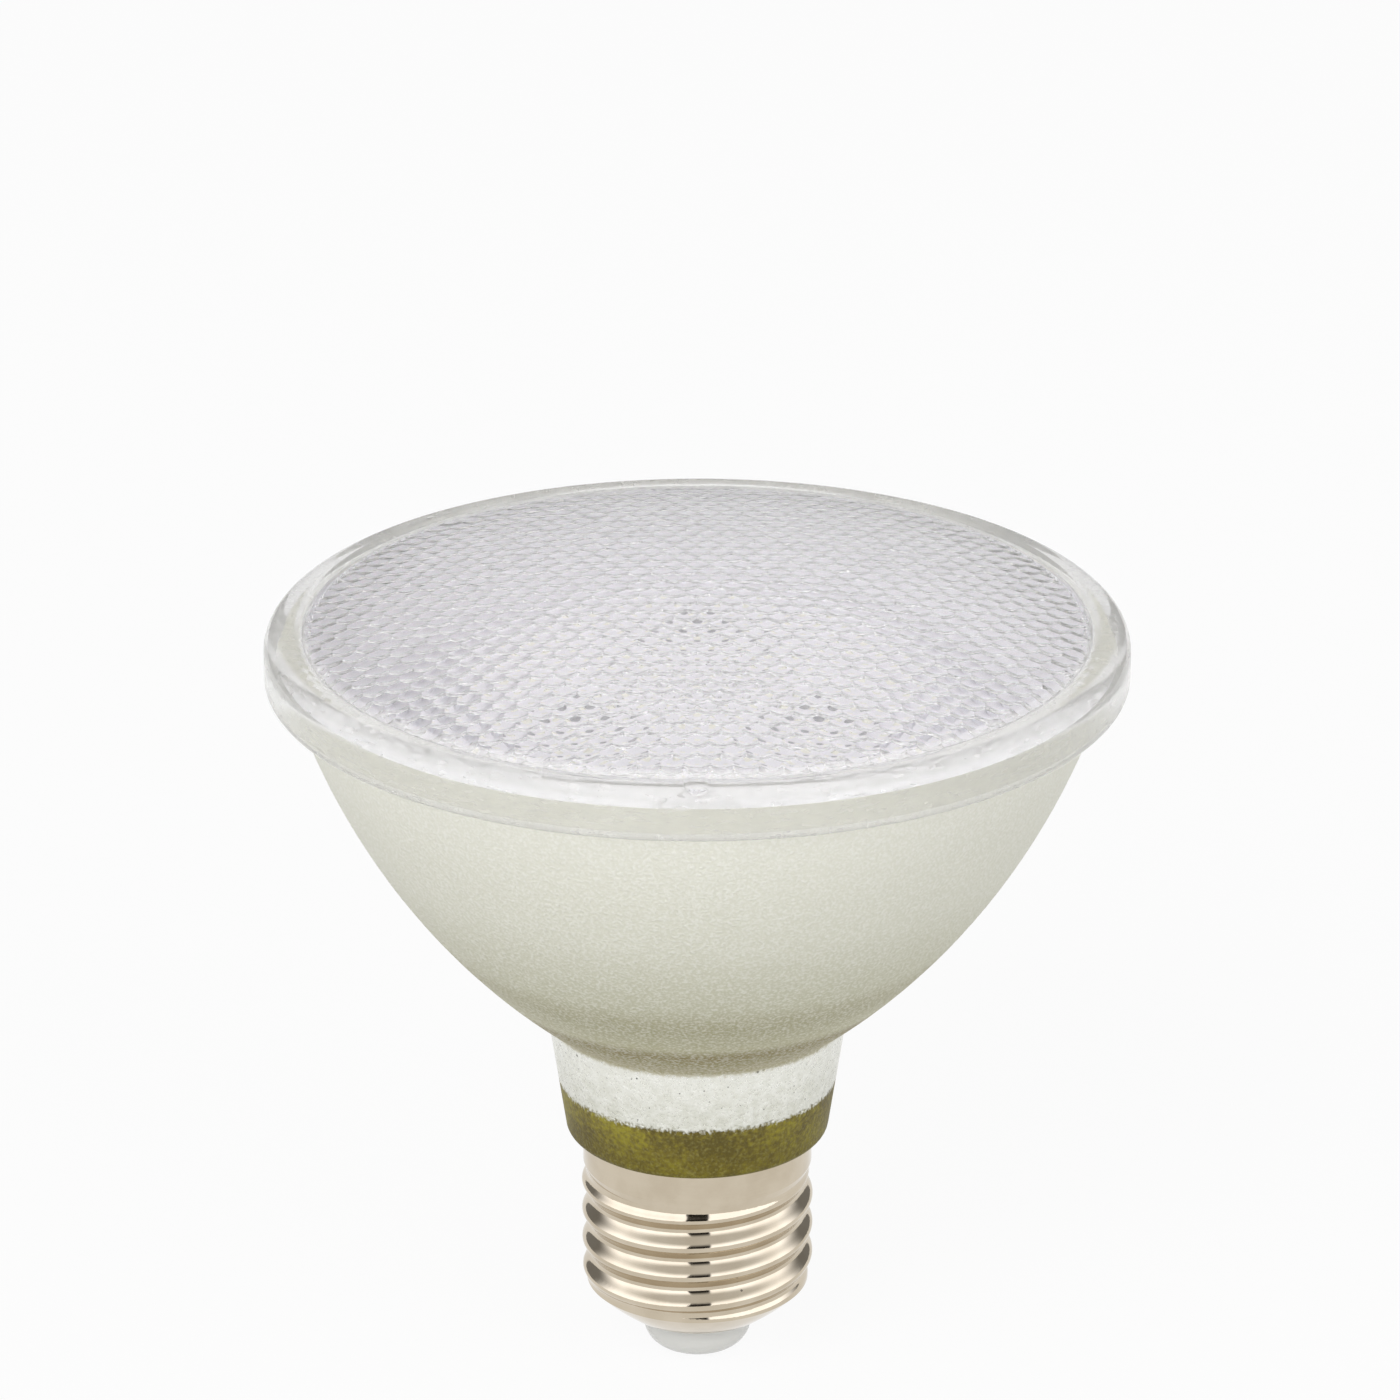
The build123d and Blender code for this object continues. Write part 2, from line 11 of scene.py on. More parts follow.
import bmesh
import bpy
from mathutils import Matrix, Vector


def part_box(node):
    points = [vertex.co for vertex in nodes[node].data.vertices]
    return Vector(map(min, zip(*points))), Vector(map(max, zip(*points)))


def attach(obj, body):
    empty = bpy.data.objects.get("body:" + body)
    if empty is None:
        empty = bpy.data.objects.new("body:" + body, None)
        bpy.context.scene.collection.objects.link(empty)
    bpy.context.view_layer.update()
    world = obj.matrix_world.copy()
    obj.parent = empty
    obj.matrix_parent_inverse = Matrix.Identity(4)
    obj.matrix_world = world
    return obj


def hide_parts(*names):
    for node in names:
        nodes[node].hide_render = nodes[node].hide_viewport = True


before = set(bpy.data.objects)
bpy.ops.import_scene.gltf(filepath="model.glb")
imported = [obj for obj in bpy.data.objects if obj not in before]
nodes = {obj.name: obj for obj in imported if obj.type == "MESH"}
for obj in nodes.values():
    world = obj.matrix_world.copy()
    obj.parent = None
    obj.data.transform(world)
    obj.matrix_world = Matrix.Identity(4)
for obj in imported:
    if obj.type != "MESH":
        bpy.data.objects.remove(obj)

scene = bpy.context.scene
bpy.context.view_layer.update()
MM = 0.001

# %% [markdown]
# ## The camera
#
# The lamp was photographed with a long lens from a little above, so its upright lines hardly converge.
# The rim's ellipse gives the downward angle, and the rounder ellipses further down give the distance. The
# camera looks straight along Y and tips down, and the focal length sets the framing.

# %% Place the camera
CAMERA_AWAY = 0.6955
CAMERA_HEIGHT = 0.3624
CAMERA_ASIDE = 0.0003
CAMERA_TIP = 22.16
FOCAL_LENGTH = 175.13
SENSOR_WIDTH = 36.0

camera = bpy.data.objects.new("camera", bpy.data.cameras.new("camera"))
camera.data.lens = FOCAL_LENGTH
camera.data.sensor_width = SENSOR_WIDTH
camera.location = (CAMERA_ASIDE, -CAMERA_AWAY, CAMERA_HEIGHT)
camera.rotation_euler = (math.radians(90 - CAMERA_TIP), 0, 0)
scene.collection.objects.link(camera)
scene.camera = camera
print("camera tips down", CAMERA_TIP, "degrees")

# %% [markdown]
# ## Writing materials as sums
#
# A material is a tree of nodes. Wiring each node by hand hides the idea, so one small class stands for a
# value in the tree. Adding, taking away or multiplying such values adds Math nodes, and `add` brings in
# any other node: its settings are set first, because they can change which sockets it has.

# %% A value in a material


class Strand:
    """One value on its way through a node tree."""

    def __init__(self, tree, socket=None):
        self.tree = tree
        self.socket = socket

    def add(self, kind, settings=None, sockets=None, out=0):
        """Adds a node, with its settings and then its sockets, and gives one of its outputs."""
        made = self.tree.nodes.new(kind)
        for name, value in (settings or {}).items():
            if name == "stops":
                for stop in range(len(value) - 2):
                    made.color_ramp.elements.new(0.5)
                for element, (place, colour) in zip(made.color_ramp.elements, value):
                    element.position = place
                    element.color = (*colour, 1)
            else:
                setattr(made, name, value)
        for name, value in (sockets or {}).items():
            if isinstance(value, Strand):
                self.tree.links.new(value.socket, made.inputs[name])
            else:
                made.inputs[name].default_value = value
        return Strand(self.tree, made.outputs[out])

    def maths(self, operation, first, second=0.0):
        """A Math node on one or two values."""
        return self.add("ShaderNodeMath", {"operation": operation}, {0: first, 1: second})

    def __add__(self, other):
        return self.maths("ADD", self, other)

    def __sub__(self, other):
        return self.maths("SUBTRACT", self, other)

    def __rsub__(self, other):
        return self.maths("SUBTRACT", other, self)

    def __mul__(self, other):
        return self.maths("MULTIPLY", self, other)

    def __truediv__(self, other):
        return self.maths("DIVIDE", self, other)

    def __lt__(self, other):
        return self.maths("LESS_THAN", self, other)

    __radd__ = __add__
    __rmul__ = __mul__

    def rise(self, low, high):
        """0 below low, 1 above high, and a soft step between them."""
        settings = {"interpolation_type": "SMOOTHSTEP"}
        return self.add("ShaderNodeMapRange", settings, {"Value": self, "From Min": low, "From Max": high})

    def blend(self, first, second):
        """A colour that goes from first to second as this value goes from 0 to 1."""
        colours = [c if isinstance(c, Strand) else (*c, 1) for c in (first, second)]
        settings = {"data_type": "RGBA"}
        return self.add("ShaderNodeMix", settings, {0: self, 6: colours[0], 7: colours[1]}, 2)

    def split(self):
        """The three parts of a vector."""
        return [self.add("ShaderNodeSeparateXYZ", None, {0: self}, axis) for axis in range(3)]

    def noise(self, per_mm, detail=2.0, stretch=(1, 1, 1)):
        """Cloudy values from 0 to 1 over this position, which is in millimetres."""
        place = self
        if stretch != (1, 1, 1):
            place = self.add("ShaderNodeVectorMath", {"operation": "MULTIPLY"}, {0: self, 1: stretch})
        return self.add("ShaderNodeTexNoise", None, {"Vector": place, "Scale": per_mm, "Detail": detail})

    def dots(self, per_mm, size, share):
        """1 inside small round dots, which a share of the cells of this position hold."""
        cell = {"Vector": self, "Scale": per_mm}
        apart = self.add("ShaderNodeTexVoronoi", None, cell)
        colour = self.add("ShaderNodeTexVoronoi", None, cell, 1)
        return (apart < size) * (colour.split()[0] < share)


print("a strand can:", [name for name in vars(Strand) if not name.startswith("_")])

# %% From strands to a material


def new_material(name):
    """A material with an empty Principled shader, and a strand to grow its tree from."""
    made = bpy.data.materials.new(name)
    made.use_nodes = True
    return made, Strand(made.node_tree), made.node_tree.nodes["Principled BSDF"]


def feed(shader, **values):
    """Sets the shader's sockets: a strand is linked, a number or colour is set."""
    for name, value in values.items():
        socket = shader.inputs[name.replace("_", " ")]
        if isinstance(value, Strand):
            value.tree.links.new(value.socket, socket)
        elif isinstance(value, tuple):
            socket.default_value = (*value, 1)
        else:
            socket.default_value = value


def object_mm(strand):
    """The place on the piece, in millimetres."""
    place = strand.add("ShaderNodeTexCoord", out="Object")
    return strand.add("ShaderNodeVectorMath", {"operation": "SCALE"}, {0: place, "Scale": 1 / MM})


def from_axis(place):
    """How far a place lies from the lamp's axis."""
    across, along = place.split()[:2]
    return place.maths("SQRT", across * across + along * along)


def bumped(height, depth_mm, strength=1.0):
    """A normal that follows this height, from 0 to 1 over a depth in millimetres."""
    sockets = {"Height": height, "Distance": depth_mm * MM, "Strength": strength}
    return height.add("ShaderNodeBump", None, sockets)


def mix_in(material, shader, share, other):
    """Shows another shader in place of a share of the Principled one."""
    mixed = share.add("ShaderNodeMixShader", None, {0: share, 2: other})
    links = material.node_tree.links
    links.new(shader.outputs[0], mixed.socket.node.inputs[1])
    links.new(mixed.socket, material.node_tree.nodes["Material Output"].inputs["Surface"])


print("material tools ready")

# %% [markdown]
# ## The studio
#
# The lamp stands in a white studio. The world lights it softly from all round, two large soft lamps
# shape it, and the floor is pale. A white background needs strength 1 where the camera, glass or metal
# look at it, while the light that falls on the lamp stays at a plain level. Light Path tells those rays
# apart, so the world and the floor can be white to look at without washing out the lamp.

# %% White to look at, soft to light with
WORLD_LIGHT = 0.52


def looked_at(strand):
    """1 for rays from the camera, from gloss and through glass, 0 for the light that falls on things."""
    seen = 0.0
    for ray in ("Is Camera Ray", "Is Glossy Ray", "Is Transmission Ray"):
        seen = strand.maths("MAXIMUM", strand.add("ShaderNodeLightPath", out=ray), seen)
    return seen


world = bpy.data.worlds.new("white studio")
world.use_nodes = True
scene.world = world
sky = Strand(world.node_tree)
background = world.node_tree.nodes["Background"]
background.inputs["Color"].default_value = (1, 1, 1, 1)
glow = looked_at(sky) * (1 - WORLD_LIGHT) + WORLD_LIGHT
world.node_tree.links.new(glow.socket, background.inputs["Strength"])
print("world light", WORLD_LIGHT)

# %% A floor of white paper
FLOOR_REACH = 4.0
FLOOR_WHITENESS = 0.93
PAPER_DEEP, PAPER_LIGHT = (0.66, 0.66, 0.66), (0.72, 0.72, 0.72)

floor_mesh = bpy.data.meshes.new("floor")
sheet = bmesh.new()
bmesh.ops.create_grid(sheet, x_segments=8, y_segments=8, size=FLOOR_REACH)
sheet.to_mesh(floor_mesh)
sheet.free()
floor = bpy.data.objects.new("floor", floor_mesh)
scene.collection.objects.link(floor)

paper, strand, shader = new_material("white paper")
fibre = object_mm(strand).noise(0.4, 4)
feed(shader, Base_Color=fibre.blend(PAPER_DEEP, PAPER_LIGHT), Roughness=0.8)
white = strand.add("ShaderNodeEmission", None, {"Strength": 1.0})
mix_in(paper, shader, looked_at(strand) * FLOOR_WHITENESS, white)
floor_mesh.materials.append(paper)
print("floor", 2 * FLOOR_REACH, "m wide")

# %% [markdown]
# ## Lamps and a wall for reflections
#
# Plain metal has no colour of its own: it shows the room. In a room that is white all round it would look
# like paper, so a photographer puts bright panels to the left and right and leaves the camera's place and
# the back of the room dark. Those panels draw the long highlights on the thread. Here they are one round
# wall that only reflections see. The lamps that light the rest are hidden from reflections in turn.

# %% Two soft lamps
LAMPS_LOOK_AT = Vector((0, 0, 0.05))


def soft_lamp(name, place, width, watts):
    """A square soft box that looks at the lamp's middle and shows in no reflection."""
    light = bpy.data.lights.new(name, "AREA")
    light.size = width
    light.energy = watts
    lamp = bpy.data.objects.new(name, light)
    lamp.location = place
    lamp.rotation_euler = (LAMPS_LOOK_AT - Vector(place)).to_track_quat("-Z", "Y").to_euler()
    lamp.visible_glossy = False
    lamp.visible_transmission = False
    scene.collection.objects.link(lamp)
    print(name, watts, "W")


soft_lamp("key lamp", place=(-0.7, -1.2, 1.2), width=1.0, watts=17.0)
soft_lamp("fill lamp", place=(1.0, -1.1, 1.0), width=1.0, watts=8.0)

# %% A round wall that only reflections see
WALL_AWAY = 0.95
WALL_HEIGHT = 1.7
WALL_SEGMENTS = 96


def verts_of(geometry):
    """The vertices among an operator's mixed results."""
    return [part for part in geometry if isinstance(part, bmesh.types.BMVert)]


wall_mesh = bpy.data.meshes.new("studio wall")
roll = bmesh.new()
bmesh.ops.create_circle(roll, segments=WALL_SEGMENTS, radius=WALL_AWAY)
raised = bmesh.ops.extrude_edge_only(roll, edges=roll.edges[:])["geom"]
bmesh.ops.translate(roll, vec=(0, 0, WALL_HEIGHT), verts=verts_of(raised))
roll.to_mesh(wall_mesh)
roll.free()
wall = bpy.data.objects.new("studio wall", wall_mesh)
scene.collection.objects.link(wall)
for ray in ("camera", "diffuse", "transmission", "shadow", "volume_scatter"):
    setattr(wall, "visible_" + ray, False)
print("wall", WALL_AWAY, "m away and", WALL_HEIGHT, "m high")

# %% Bright panels at the sides, dark in front and behind
# bearings are in degrees from the camera's side, heights in millimetres
PANEL_FROM, PANEL_TO = 11.0, 88.0
PANEL_EDGE, PANEL_FADE = 1.0, 36.0
CEILING_FROM, CEILING_FULL = 325.0, 1040.0
REAR_FROM, REAR_FULL = 155.0, 170.0
FRONT_SHADE = (0.03, 0.028, 0.025)
PANEL_GLOW = (1.95, 2.0, 2.15)
CEILING_SHADE = (0.8, 0.8, 0.8)
BACK_SHADE = (0.25, 0.25, 0.25)
REAR_SHADE = (0.3, 0.3, 0.31)

panels, strand, shader = new_material("wall panels")
across, along, height = object_mm(strand).split()
turn = strand.maths("ARCTAN2", across, along * -1)
bearing = strand.maths("ABSOLUTE", turn) * (180 / math.pi)
glow = bearing.rise(PANEL_FROM - PANEL_EDGE, PANEL_FROM + PANEL_EDGE).blend(FRONT_SHADE, PANEL_GLOW)
glow = height.rise(CEILING_FROM, CEILING_FULL).blend(glow, CEILING_SHADE)
glow = bearing.rise(PANEL_TO, PANEL_TO + PANEL_FADE).blend(glow, BACK_SHADE)
glow = bearing.rise(REAR_FROM, REAR_FULL).blend(glow, REAR_SHADE)
paint = strand.add("ShaderNodeEmission", None, {"Color": glow, "Strength": 1.0})
panels.node_tree.links.new(paint.socket, panels.node_tree.nodes["Material Output"].inputs["Surface"])
wall_mesh.materials.append(panels)
print("panels from", PANEL_FROM, "to", PANEL_TO, "degrees on each side")

# %% [markdown]
# ## The front lens
#
# The lens is moulded in clear plastic. Outside it is a smooth shallow dome with a groove and a rim that
# wraps the glass, with the small mark of the gate where the plastic came in. Inside, a honeycomb of about
# a thousand lenslets spreads the light. A lenslet is a small ball cap cut to a hexagon, so where two of
# them meet there is a scalloped ridge. The outer form is a profile spun round the axis. One lenslet is
# made from a six-sided disc, then copied over the dome.

# %% Sizes of the lens
lens_low, lens_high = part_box("front_lens")
RIM_RADIUS = lens_high[0]
RIM_FOOT_Z = lens_low[2]
DOME_TOP_Z = lens_high[2]
RIM_HEIGHT = 5.85 * MM
DOME_EDGE = 42.7 * MM
DOME_RISE = 3.85 * MM
GROOVE_WIDTH = 1.6 * MM
GROOVE_DEPTH = 0.7 * MM
SKIRT_WALL = 2.2 * MM
SEAT_HEIGHT = 3.2 * MM
LENS_WALL = 2.1 * MM
PATTERN_INSET = 0.3 * MM
LENSLET_PITCH = 2.54 * MM
LENSLET_DEPTH = 0.4 * MM
LENSLET_BORDER = 0.15 * MM
MERGE = LENSLET_PITCH / 200

DOME_EDGE_Z = DOME_TOP_Z - DOME_RISE
RIM_TOP_Z = RIM_FOOT_Z + RIM_HEIGHT
SKIRT_RADIUS = RIM_RADIUS - SKIRT_WALL
SEAT_Z = RIM_FOOT_Z + SEAT_HEIGHT
PATTERN_RADIUS = DOME_EDGE - PATTERN_INSET
PATTERN_Z = DOME_EDGE_Z - LENS_WALL
cell_size = LENSLET_PITCH / math.sqrt(3)
print("lenslet", round(cell_size / MM, 3), "mm from middle to corner, seat at", round(SEAT_Z / MM, 2), "mm")

# %% One lenslet
LENSLET_CUTS = 2


def inner_dome(radius):
    """Height of the domed inner side of the lens at a distance from the axis."""
    ball = (PATTERN_RADIUS**2 + DOME_RISE**2) / (2 * DOME_RISE)
    return PATTERN_Z + math.sqrt(ball**2 - radius**2) - math.sqrt(ball**2 - PATTERN_RADIUS**2)


def one_lenslet(lens):
    """A six-sided disc, divided and pressed into a shallow bowl that hangs below its corners."""
    bmesh.ops.create_circle(lens, cap_ends=True, cap_tris=True, segments=6, radius=cell_size)
    bmesh.ops.subdivide_edges(lens, edges=lens.edges[:], cuts=LENSLET_CUTS, use_grid_fill=True)
    for vert in lens.verts:
        vert.co.z = LENSLET_DEPTH * ((vert.co.xy.length / cell_size) ** 2 - 1)
    return lens.verts[:] + lens.edges[:] + lens.faces[:]


lens = bmesh.new()
master = one_lenslet(lens)
print("faces of one lenslet:", len(lens.faces))

# %% The honeycomb, row by row


def honeycomb(lens, master):
    """Copies the master over the dome, trims the sheet to a circle and presses its outline flat."""
    trim = PATTERN_RADIUS - LENSLET_BORDER
    reach = trim + cell_size
    row_step = LENSLET_PITCH * math.sqrt(3) / 2
    rows = int(reach / row_step)
    count = 0
    for row in range(-rows, rows + 1):
        shift = row % 2 / 2
        half_row = math.sqrt(reach**2 - (row * row_step) ** 2) / LENSLET_PITCH
        first, last = math.ceil(-half_row - shift), math.floor(half_row - shift)
        cell = bmesh.ops.duplicate(lens, geom=master)["geom"]
        start = ((first + shift) * LENSLET_PITCH, row * row_step, 0)
        bmesh.ops.translate(lens, vec=start, verts=verts_of(cell))
        bmesh.ops.spin(
            lens, geom=cell, cent=(0, 0, 0), axis=(0, 0, 1), dvec=(LENSLET_PITCH, 0, 0),
            angle=0, steps=last - first, use_duplicate=True,
        )
        count += last - first + 1
    bmesh.ops.delete(lens, geom=verts_of(master))
    bmesh.ops.remove_doubles(lens, verts=lens.verts[:], dist=MERGE)
    beyond = [face for face in lens.faces if all(vert.co.xy.length > trim for vert in face.verts)]
    bmesh.ops.delete(lens, geom=beyond, context="FACES")
    for vert in lens.verts:
        vert.co.xy *= min(1, trim / max(vert.co.xy.length, trim))
        vert.co.z += inner_dome(vert.co.xy.length)
    outline = [edge for edge in lens.edges if edge.is_boundary]
    for edge in outline:
        for vert in edge.verts:
            vert.co.z = PATTERN_Z
    return count, outline


lenslets, outline = honeycomb(lens, master)
print("lenslets:", lenslets, "faces:", len(lens.faces), "outline edges:", len(outline))

# %% Tools for a spun piece


def run_on(piece, start, points):
    """Draws a profile on from a vertex through (radius, height) points, and gives its vertices."""
    drawn = [start]
    for radius, height in points:
        extended = bmesh.ops.extrude_vert_indiv(piece, verts=[drawn[-1]])["verts"][0]
        extended.co = (radius, 0, height)
        drawn.append(extended)
    return drawn


def round_corner(piece, vert, size, segments):
    """Rounds one corner of a profile."""
    bmesh.ops.bevel(
        piece, geom=[vert], offset=size, offset_type="OFFSET", affect="VERTICES",
        segments=segments, profile=0.5, material=-1,
    )


def spin_round(piece, start, steps):
    """Spins the profile that hangs on this vertex once round the lamp's axis, and closes it."""
    joined = [start]
    for vert in joined:
        neighbours = [edge.other_vert(vert) for edge in vert.link_edges]
        joined.extend(other for other in neighbours if other not in joined)
    edges = list(dict.fromkeys(edge for vert in joined for edge in vert.link_edges))
    bmesh.ops.spin(
        piece, geom=joined + edges, cent=(0, 0, 0), axis=(0, 0, 1),
        angle=math.tau, steps=steps, use_merge=True,
    )


print("tools: draw a profile on, round its corners, spin it")

# %% The smooth outside of the lens
LENS_STEPS = 384
DOME_STEPS = 20
SMALL_ROUND = 0.5
# number of a corner of the profile, and its round
ROUNDS_MM = {0: 0.2, 1: 0.3, 2: 0.25, 3: 2.3, 4: 0.8, 5: 0.6}


def dome_profile(lens):
    """The dome from its pole to its edge: one vertex swung about the ball's centre."""
    ball = (DOME_EDGE**2 + DOME_RISE**2) / (2 * DOME_RISE)
    pole = lens.verts.new((0, 0, DOME_TOP_Z))
    swung = bmesh.ops.spin(
        lens, geom=[pole], cent=(0, 0, DOME_TOP_Z - ball), axis=(0, 1, 0),
        angle=math.asin(DOME_EDGE / ball), steps=DOME_STEPS,
    )
    return verts_of(swung["geom_last"])[0]


dome_end = dome_profile(lens)
print("dome ends at", [round(value / MM, 3) for value in dome_end.co])
profile = run_on(lens, dome_end, [
    (DOME_EDGE + GROOVE_WIDTH / 2, DOME_EDGE_Z - GROOVE_DEPTH),
    (DOME_EDGE + GROOVE_WIDTH, RIM_TOP_Z),
    (RIM_RADIUS, RIM_TOP_Z),
    (RIM_RADIUS, RIM_FOOT_Z),
    (SKIRT_RADIUS, RIM_FOOT_Z),
    (SKIRT_RADIUS, SEAT_Z),
    (PATTERN_RADIUS, SEAT_Z),
    (PATTERN_RADIUS, PATTERN_Z),
])
seat_end = profile[-1]
for corner, size in ROUNDS_MM.items():
    round_corner(lens, profile[corner], size * MM, segments=3 if size < SMALL_ROUND else 10)
spin_round(lens, seat_end, LENS_STEPS)
bmesh.ops.remove_doubles(lens, verts=lens.verts[:], dist=MERGE)
print("lens faces:", len(lens.faces))

# %% The gate mark
GATE_REACH = 1.0 * MM
GATE_RISE = 0.3 * MM
rim_inner = DOME_EDGE + GROOVE_WIDTH
gate = [
    vert for vert in lens.verts
    if abs(vert.co.x) < GATE_REACH and vert.co.y < -rim_inner and vert.co.z > RIM_TOP_Z - 2 * GATE_RISE
]
bmesh.ops.translate(lens, vec=(0, 0, GATE_RISE), verts=gate)
print("gate mark vertices:", len(gate))

# %% Close the gap between honeycomb and skirt


def finish_piece(piece, name, replaced, sharp_degrees=30.0):
    """Turns the faces outwards, keeps sharp corners sharp, and puts the piece on the lamp."""
    bmesh.ops.recalc_face_normals(piece, faces=piece.faces[:])
    for face in piece.faces:
        face.smooth = True
    for edge in piece.edges:
        if edge.is_manifold and edge.calc_face_angle() > math.radians(sharp_degrees):
            edge.smooth = False
    open_edges = sum(not edge.is_manifold for edge in piece.edges)
    mesh = bpy.data.meshes.new(name)
    piece.to_mesh(mesh)
    piece.free()
    made = bpy.data.objects.new(name, mesh)
    scene.collection.objects.link(made)
    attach(made, "root")
    if replaced:
        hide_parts(*replaced)
    print(name, "faces:", len(mesh.polygons), "open edges:", open_edges)
    return made


open_edges = [edge for edge in lens.edges if edge.is_boundary]
bmesh.ops.triangle_fill(lens, edges=open_edges, use_beauty=True, use_dissolve=False)
front_lens = finish_piece(lens, "lens_honeycomb", ["front_lens"])

# %% [markdown]
# ## The lens material
#
# Clear plastic needs no picture: it bends light. A Principled shader with full transmission is a real
# glass, so the ridges come out of the shape and the room. The rim was not polished, so a milky shader is
# mixed in there. Light that is caught in the lens turns many corners before it gets out, and a renderer that
# gives up early draws such paths black, so the number of turns is raised. A clear lens hardly shades what is
# behind it, so it casts no shadow.

# %% Turns of the light
LIGHT_TURNS = 32
SOFT_TURNS = 6
scene.cycles.max_bounces = LIGHT_TURNS
scene.cycles.transmission_bounces = LIGHT_TURNS
scene.cycles.glossy_bounces = LIGHT_TURNS
scene.cycles.diffuse_bounces = SOFT_TURNS
print("light may turn", LIGHT_TURNS, "times")

# %% Clear moulded plastic
# distances from the axis are in millimetres
HAZE_FROM, HAZE_FULL = 42.6, 43.2
RIM_MILK, STREAK_MILK, FACE_MILK = 0.14, 0.16, 0.03
LENS_IOR = 1.5
CLEAR_DEEP, CLEAR_LIGHT = (0.93, 0.925, 0.935), (0.95, 0.945, 0.955)
HAZE_DEEP, HAZE_LIGHT = (0.86, 0.855, 0.82), (0.92, 0.915, 0.885)

clear, strand, shader = new_material("clear lens")
place = object_mm(strand)
on_rim = from_axis(place).rise(HAZE_FROM, HAZE_FULL)
flow = place.noise(0.12, 3)
feed(shader, Base_Color=flow.blend(CLEAR_DEEP, CLEAR_LIGHT), IOR=LENS_IOR, Transmission_Weight=1.0)
feed(shader, Roughness=on_rim * 0.03 + flow * 0.02 + 0.01)
haze = {"Base Color": flow.blend(HAZE_DEEP, HAZE_LIGHT), "Roughness": 0.35}
milky = strand.add("ShaderNodeBsdfPrincipled", None, haze)
streaks = place.noise(0.5, 4, (1, 1, 4))
mix_in(clear, shader, on_rim * (streaks * STREAK_MILK + RIM_MILK) + FACE_MILK, milky)
front_lens.data.materials.append(clear)
front_lens.visible_shadow = False
print("lens material:", clear.name)

# %% [markdown]
# ## The bead of sealant
#
# Silicone holds the lens on the glass. It was squeezed into a thin ring under the seat and down between
# glass and skirt, and its inner edge ran out unevenly. It is pale where it is thin, and further out it turns
# olive in small scallops. Two faces in the same place confuse a glass shader, so the bead is drawn a hair
# smaller than the room it has. Its section is drawn once and spun.

# %% Silicone bead
HAIR = 0.05 * MM
BEAD_STEPS = 360
BEAD_WAVE = 0.25 * MM
LONG_WAVES, SHORT_WAVES, WAVE_SHIFT = 31, 74, 1.3
GLASS_RIM = 44.9 * MM
GLASS_MOUTH = 42.9 * MM
BEAD_THICKNESS = 0.5 * MM
bead_low, bead_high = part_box("lens_seal")

bead = bmesh.new()
under = bead_high[2] - BEAD_THICKNESS + HAIR
section = run_on(bead, bead.verts.new((GLASS_MOUTH, 0, under)), [
    (GLASS_RIM + HAIR, under),
    (GLASS_RIM + HAIR, bead_low[2]),
    (SKIRT_RADIUS - HAIR, bead_low[2]),
    (SKIRT_RADIUS - HAIR, SEAT_Z - HAIR),
    (GLASS_MOUTH, SEAT_Z - HAIR),
])
bead.edges.new((section[-1], section[0]))
spin_round(bead, section[0], BEAD_STEPS)
bmesh.ops.remove_doubles(bead, verts=bead.verts[:], dist=MERGE / 4)
for vert in bead.verts:
    if vert.co.xy.length < GLASS_MOUTH + MERGE:
        turn = math.atan2(vert.co.y, vert.co.x)
        waves = math.sin(LONG_WAVES * turn) + math.sin(SHORT_WAVES * turn + WAVE_SHIFT)
        squeeze = BEAD_WAVE * (2 + waves) / 4
        vert.co.xy *= 1 + squeeze / GLASS_MOUTH
seal = finish_piece(bead, "sealant_bead", ["lens_seal"])

# %% Pale silicone with an olive edge
# distances from the axis are in millimetres
OLIVE_FROM, OLIVE_FULL = 44.1, 44.4
SCALLOPS, SCALLOP_REACH, CLOUD_REACH = 110, 0.15, 0.5
PALE_DEEP, PALE_LIGHT = (0.82, 0.82, 0.79), (0.92, 0.92, 0.89)
OLIVE_DEEP, OLIVE_LIGHT = (0.41, 0.405, 0.29), (0.54, 0.535, 0.41)

silicone, strand, shader = new_material("silicone bead")
place = object_mm(strand)
across, along = place.split()[:2]
turn = strand.maths("ARCTAN2", along, across)
scallop = strand.maths("SINE", turn * SCALLOPS) * SCALLOP_REACH
cloud = place.noise(0.7, 4)
ragged = from_axis(place) + (cloud - 0.5) * CLOUD_REACH + scallop
pale = cloud.blend(PALE_DEEP, PALE_LIGHT)
olive = cloud.blend(OLIVE_DEEP, OLIVE_LIGHT)
feed(shader, Base_Color=ragged.rise(OLIVE_FROM, OLIVE_FULL).blend(pale, olive))
feed(shader, Roughness=cloud * 0.2 + 0.3, Normal=bumped(cloud, 0.05))
seal.data.materials.append(silicone)
print("bead material:", silicone.name)

# %% [markdown]
# ## The glass body
#
# The bowl and neck are one pressing, sandblasted outside and silvered inside. Through the frost the
# silver looks like pale satin. The silver stops part of the way down the neck, in a ragged line, and
# below it the olive resin that holds the cap shows through. All of this lies at known heights,
# so the finish is painted by height, with noise for the ragged line and the sandy grain. The bowl's
# colour by height also holds painted shade and light: dark bands above the shoulder, and a bowl that
# grows lighter towards the rim.

# %% Where the glass changes
# heights and reaches are in millimetres
NECK_FOOT = 27.4
SILVER_FOOT = 33.9
SHOULDER = 41.2
EDGE_FADE = 0.35
RAGGED_REACH = 0.6
SPRINKLE_REACH = 1.6
FACES_IN, FACES_OUT = -0.35, -0.2

